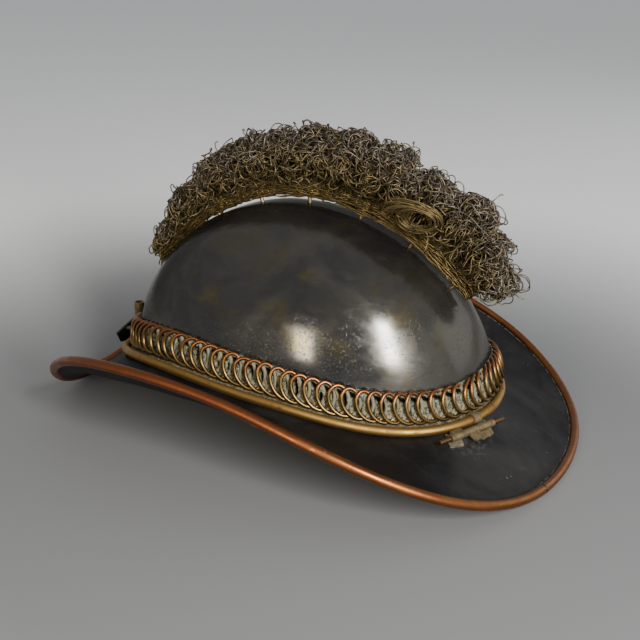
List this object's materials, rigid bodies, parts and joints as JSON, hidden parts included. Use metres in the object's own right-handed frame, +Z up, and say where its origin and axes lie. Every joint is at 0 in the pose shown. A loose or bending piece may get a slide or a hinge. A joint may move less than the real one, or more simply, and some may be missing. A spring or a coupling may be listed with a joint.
{
  "type": "firefighter helmet",
  "caption": "Parade-style fire helmet with a dark raised crown, a saddle-shaped brim bound in copper, a coil-spring hat band and a bushy wire crest.",
  "frame": {"origin": "on the ground under the middle of the brim, where the helmet stands on its brim edge", "axes": "-Y to the front (badge side), +X to the wearer's left, +Z up"},
  "size_m": [0.2791, 0.3296, 0.1805],
  "materials": {
    "crown_metal": "satin, dark brown-black patina on sheet metal",
    "brim_metal": "satin, black patina, dusty",
    "copper": "aged copper tube, satin",
    "brass": "aged brass, satin",
    "coil_wire": "aged brass wire, coppery on top",
    "backing": "grey-green woven strip",
    "crest_wire": "aged brass wire, darkened at the tips",
    "dark_brass": "dark aged brass",
    "black_metal": "black, matt",
    "hinge_brass": "tarnished brass, rough",
    "solder": "rough grey-green solder",
    "leather": "brown leather, worn",
    "lining_leather": "tan leather, worn",
    "cord": "twisted cotton cord"
  },
  "bodies": {
    "helmet": {"crown_shell": "crown_metal", "brim": "brim_metal", "edge_binding": "copper", "base_ring": "brass", "coil_backing": "backing", "coil_band": "coil_wire", "crest_spine": "crest_wire", "crest_posts": "dark_brass", "crest_nuts": "dark_brass", "badge_plate": "black_metal", "badge_studs": "dark_brass", "badge_nuts": "dark_brass", "plume_socket": "dark_brass", "hinge_fixed_leaf": "hinge_brass", "hinge_solder": "solder", "hinge_pin": "copper", "sweatband": "leather", "sweatband_rivets": "dark_brass", "lining_tongues": "lining_leather", "lining_drawcord": "cord", "strap_eye_left": "dark_brass", "strap_eye_right": "dark_brass", "crest_tuft_1": "crest_wire", "crest_tuft_2": "crest_wire", "crest_tuft_3": "crest_wire", "crest_tuft_4": "crest_wire", "crest_tuft_5": "crest_wire", "crest_tuft_6": "crest_wire", "crest_tuft_7": "crest_wire", "crest_tuft_8": "crest_wire", "crest_tuft_9": "crest_wire", "crest_tuft_10": "crest_wire", "crest_tuft_11": "crest_wire", "crest_tuft_12": "crest_wire"},
    "loose_leaf": {"hinge_loose_leaf": "hinge_brass"},
    "left_ring": {"strap_ring_left": "brass"},
    "right_ring": {"strap_ring_right": "brass"}
  },
  "joints": [
    {"name": "rear_hinge", "type": "hinge", "parent": "helmet", "child": "loose_leaf", "pos_m": [0.0456, 0.1134, 0.0288], "axis": [0.8829, -0.4695, 0], "range_deg": [0, 110]},
    {"name": "left_ring_swing", "type": "hinge", "parent": "helmet", "child": "left_ring", "pos_m": [0.081, 0, 0.0342], "axis": [0, 1, 0], "range_deg": [-75, 75]},
    {"name": "right_ring_swing", "type": "hinge", "parent": "helmet", "child": "right_ring", "pos_m": [-0.081, 0, 0.0342], "axis": [0, 1, 0], "range_deg": [-75, 75]}
  ]
}
